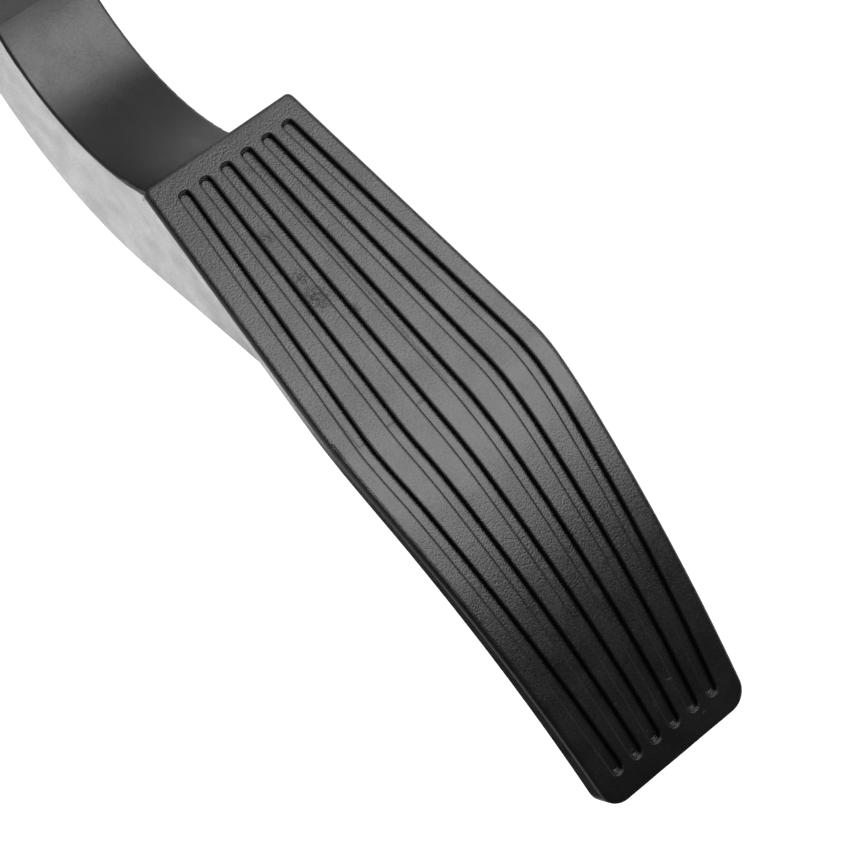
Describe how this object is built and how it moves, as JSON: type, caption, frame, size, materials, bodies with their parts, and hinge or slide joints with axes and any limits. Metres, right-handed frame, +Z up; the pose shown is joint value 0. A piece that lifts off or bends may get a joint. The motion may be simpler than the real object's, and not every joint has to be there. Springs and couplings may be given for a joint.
{
  "type": "accelerator pedal sensor",
  "caption": "Hanging accelerator pedal module: a grooved swan-neck plastic lever sprung on a bulkhead housing with a sealed angle sensor and a plug socket.",
  "frame": {"origin": "centre of the bolt circle on the mounting face", "axes": "+Y out of the mounting face, forward to the bulkhead; +Z up; +X to the right of someone facing the bulkhead"},
  "size_m": [0.1032, 0.1363, 0.306],
  "materials": {
    "pedal_moulding": "fine moulded grain",
    "housing_moulding": "fine moulded grain",
    "cover_moulding": "satin",
    "friction_moulding": "satin",
    "rotor_moulding": "satin",
    "shaft_steel": "ground",
    "clip_steel": "phosphated",
    "bush_bronze": "sintered",
    "spring_steel": "drawn wire",
    "buffer_rubber": "matt",
    "magnet_ferrite": "ground",
    "board_laminate": "solder mask",
    "seal_rubber": "matt",
    "screw_steel": "zinc plated",
    "sleeve_steel": "zinc plated",
    "chip_epoxy": "matt",
    "terminal_tin": "tin plated",
    "capacitor_ceramic": "glazed"
  },
  "bodies": {
    "housing": {"board_capacitor_1": "capacitor_ceramic", "board_capacitor_2": "capacitor_ceramic", "board_capacitor_3": "capacitor_ceramic", "board_capacitor_4": "capacitor_ceramic", "cover_screws": "screw_steel", "cover_seal": "seal_rubber", "full_travel_buffer": "buffer_rubber", "hall_sensor_front": "chip_epoxy", "hall_sensor_rear": "chip_epoxy", "housing": "housing_moulding", "mount_bush_left": "sleeve_steel", "mount_bush_right": "sleeve_steel", "mount_bush_top": "sleeve_steel", "pivot_bush_left": "bush_bronze", "pivot_bush_right": "bush_bronze", "rest_buffer": "buffer_rubber", "return_spring_inner": "spring_steel", "return_spring_outer": "spring_steel", "sensor_board": "board_laminate", "sensor_cover": "cover_moulding", "terminal_1": "terminal_tin", "terminal_2": "terminal_tin", "terminal_3": "terminal_tin", "terminal_4": "terminal_tin", "terminal_5": "terminal_tin", "terminal_6": "terminal_tin"},
    "pedal": {"pedal_arm": "pedal_moulding", "pivot_shaft": "shaft_steel", "pivot_circlip": "clip_steel", "friction_lever": "friction_moulding", "sensor_rotor": "rotor_moulding", "sensor_magnet": "magnet_ferrite"}
  },
  "joints": [
    {"name": "pedal_pivot", "type": "hinge", "parent": "housing", "child": "pedal", "pos_m": [0, -0.042, -0.006], "axis": [1, 0, 0], "range_deg": [0, 16], "stiffness_Nm_per_rad": 13.5, "springref_deg": -12.72, "deforming": ["return_spring_outer", "return_spring_inner"]}
  ]
}
